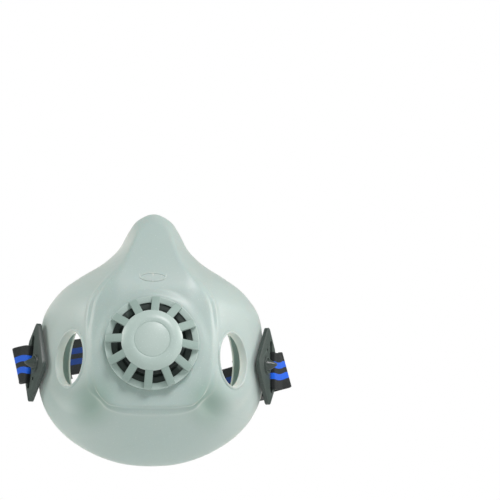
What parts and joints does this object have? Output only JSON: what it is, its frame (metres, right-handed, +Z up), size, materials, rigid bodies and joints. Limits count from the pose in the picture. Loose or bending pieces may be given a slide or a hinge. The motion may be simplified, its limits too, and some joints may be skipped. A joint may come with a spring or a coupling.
{
  "type": "respirator half mask",
  "caption": "Moulded rubber half-mask facepiece with a spoked exhale valve, two empty round filter ports and an elastic neck strap on pivoting yokes.",
  "frame": {"origin": "middle of the face opening, level with the exhale valve's axis, in the plane that the seal lip presses against the face", "axes": "+Z up to the nose, -Y forward out of the exhale valve, +X to the viewer's right when the valve faces the viewer"},
  "size_m": [0.1512, 0.1548, 0.1311],
  "materials": {
    "facepiece_rubber": "satin moulded grey-green rubber",
    "seat_rubber": "dark moulded plastic valve seat",
    "flap_rubber": "thin soft silicone-like rubber",
    "cover_plastic": "satin moulded plastic",
    "yoke_plastic": "dark grey moulded plastic",
    "stud_plastic": "dark grey moulded plastic",
    "buckle_plastic": "black moulded plastic",
    "webbing": "woven elastic webbing, black with two blue stripes"
  },
  "bodies": {
    "root": {"facepiece": "facepiece_rubber", "valve_seat": "seat_rubber", "yoke_stud_left": "stud_plastic", "yoke_stud_right": "stud_plastic", "strap_left": "webbing", "strap_right": "webbing", "strap_return_left": "webbing", "strap_return_right": "webbing", "clasp_loop": "buckle_plastic", "clasp_hook": "buckle_plastic"},
    "cover": {"valve_cover": "cover_plastic"},
    "flap": {"exhale_flap": "flap_rubber"},
    "left_yoke": {"yoke_left": "yoke_plastic", "strap_end_left": "webbing"},
    "right_yoke": {"yoke_right": "yoke_plastic", "strap_end_right": "webbing"},
    "left_adjuster": {"strap_adjuster_left": "buckle_plastic"},
    "right_adjuster": {"strap_adjuster_right": "buckle_plastic"}
  },
  "joints": [
    {"name": "cover_turn", "type": "hinge", "parent": "root", "child": "cover", "pos_m": [0, -0.058, 0], "axis": [0, -1, 0], "continuous": true},
    {"name": "flap_lift", "type": "slide", "parent": "root", "child": "flap", "axis": [0, -1, 0], "range_m": [0, 0.001], "stiffness_N_per_m": 20},
    {"name": "left_yoke_turn", "type": "hinge", "parent": "root", "child": "left_yoke", "pos_m": [-0.0578, -0.0088, -0.0025], "axis": [-0.9178, -0.3971, 0], "range_deg": [-20, 20]},
    {"name": "right_yoke_turn", "type": "hinge", "parent": "root", "child": "right_yoke", "pos_m": [0.0578, -0.0088, -0.0025], "axis": [0.9178, -0.3971, 0], "range_deg": [-20, 20]},
    {"name": "left_adjuster_slide", "type": "slide", "parent": "root", "child": "left_adjuster", "axis": [0.581, 0.7789, 0.2362], "range_m": [-0.01, 0.018]},
    {"name": "right_adjuster_slide", "type": "slide", "parent": "root", "child": "right_adjuster", "axis": [-0.6047, 0.7932, -0.0715], "range_m": [-0.01, 0.018]}
  ]
}
